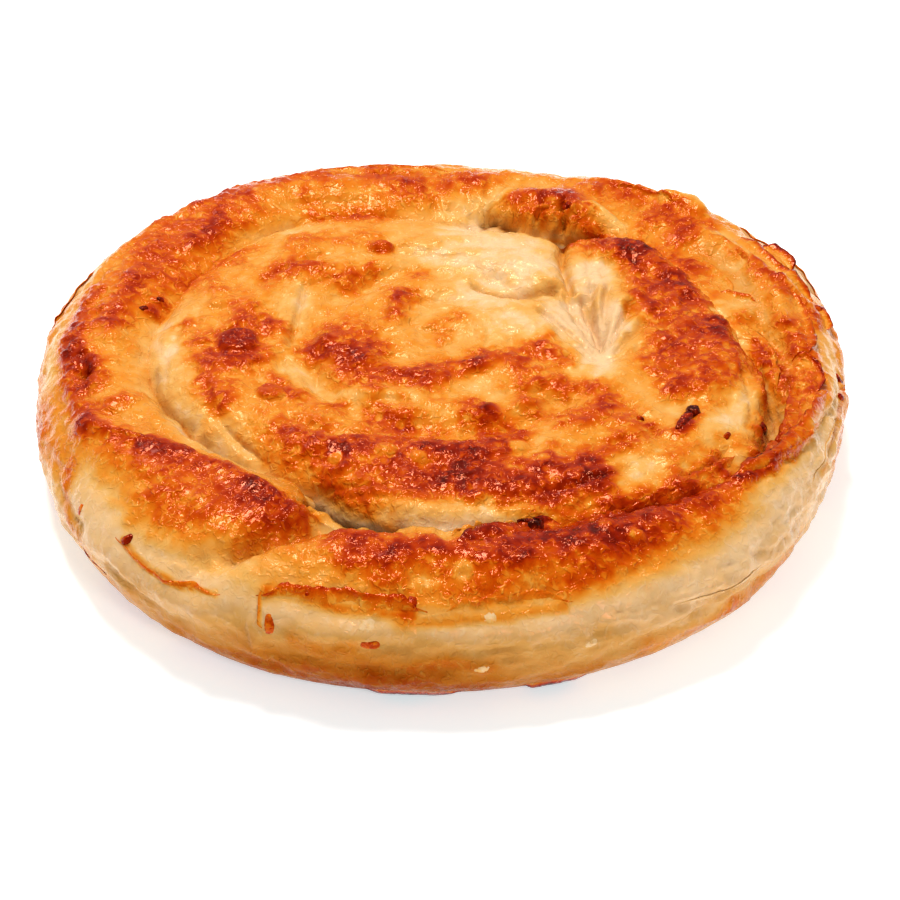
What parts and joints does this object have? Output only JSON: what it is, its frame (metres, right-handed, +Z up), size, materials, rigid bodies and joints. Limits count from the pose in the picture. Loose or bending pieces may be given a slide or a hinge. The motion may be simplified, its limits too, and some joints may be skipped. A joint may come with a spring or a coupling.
{
  "type": "coiled filled pastry",
  "caption": "Round burek: a roll of thin leaf dough coiled flat, browned on top with pale rounded sides, resting on a flat underside.",
  "frame": {"origin": "middle of the flat underside, at the bottom centre of the whole pastry's box", "axes": "+Z up through the flat cake, -Y the side that is looked at, +X to the viewer's right"},
  "size_m": [0.1806, 0.1766, 0.0283],
  "materials": {
    "baked_dough": "oiled leaf dough, oven browned on top and pale cream on the side, soft satin sheen"
  },
  "bodies": {
    "root": {"coiled_pastry": "baked_dough"}
  },
  "joints": []
}
